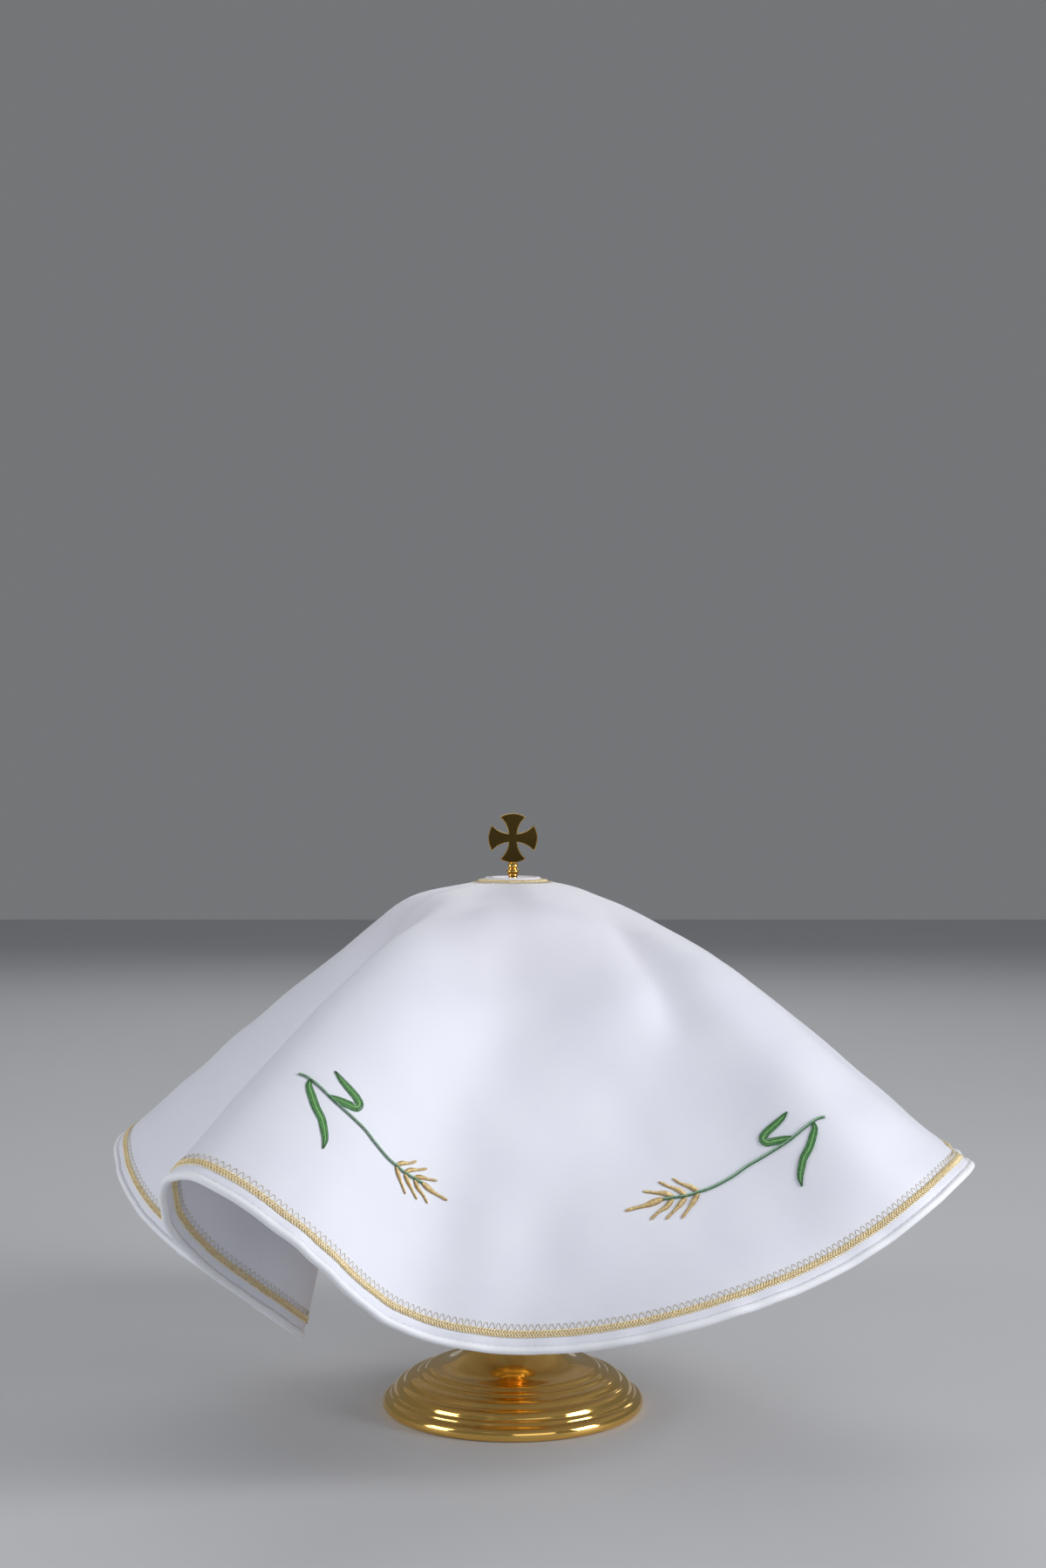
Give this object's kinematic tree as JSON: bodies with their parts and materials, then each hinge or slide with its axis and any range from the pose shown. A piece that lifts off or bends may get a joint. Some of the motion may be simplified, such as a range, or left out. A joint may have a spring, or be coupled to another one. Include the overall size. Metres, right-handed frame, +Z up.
{
  "type": "ciborium veil draped over a ciborium",
  "caption": "Round white cloth with a hemmed centre hole, hanging in uneven folds over a gilt footed cup whose lid ends in a flared cross.",
  "frame": {"origin": "centre of the foot's flat base", "axes": "+Z up along the ciborium's turning axis; the veil's embroidered front faces -Y and +X is to its right"},
  "size_m": [0.334, 0.3253, 0.2279],
  "materials": {
    "veil_cloth": "soft white satin weave with a faint sheen",
    "gold_thread": "shiny gold embroidery thread",
    "green_thread": "shiny green embroidery thread",
    "gilt_metal": "mirror-polished gilding"
  },
  "bodies": {
    "root": {"veil": "veil_cloth", "foot": "gilt_metal", "knop": "gilt_metal", "cup": "gilt_metal", "lid": "gilt_metal", "neck": "gilt_metal", "cross": "gilt_metal"}
  },
  "joints": []
}
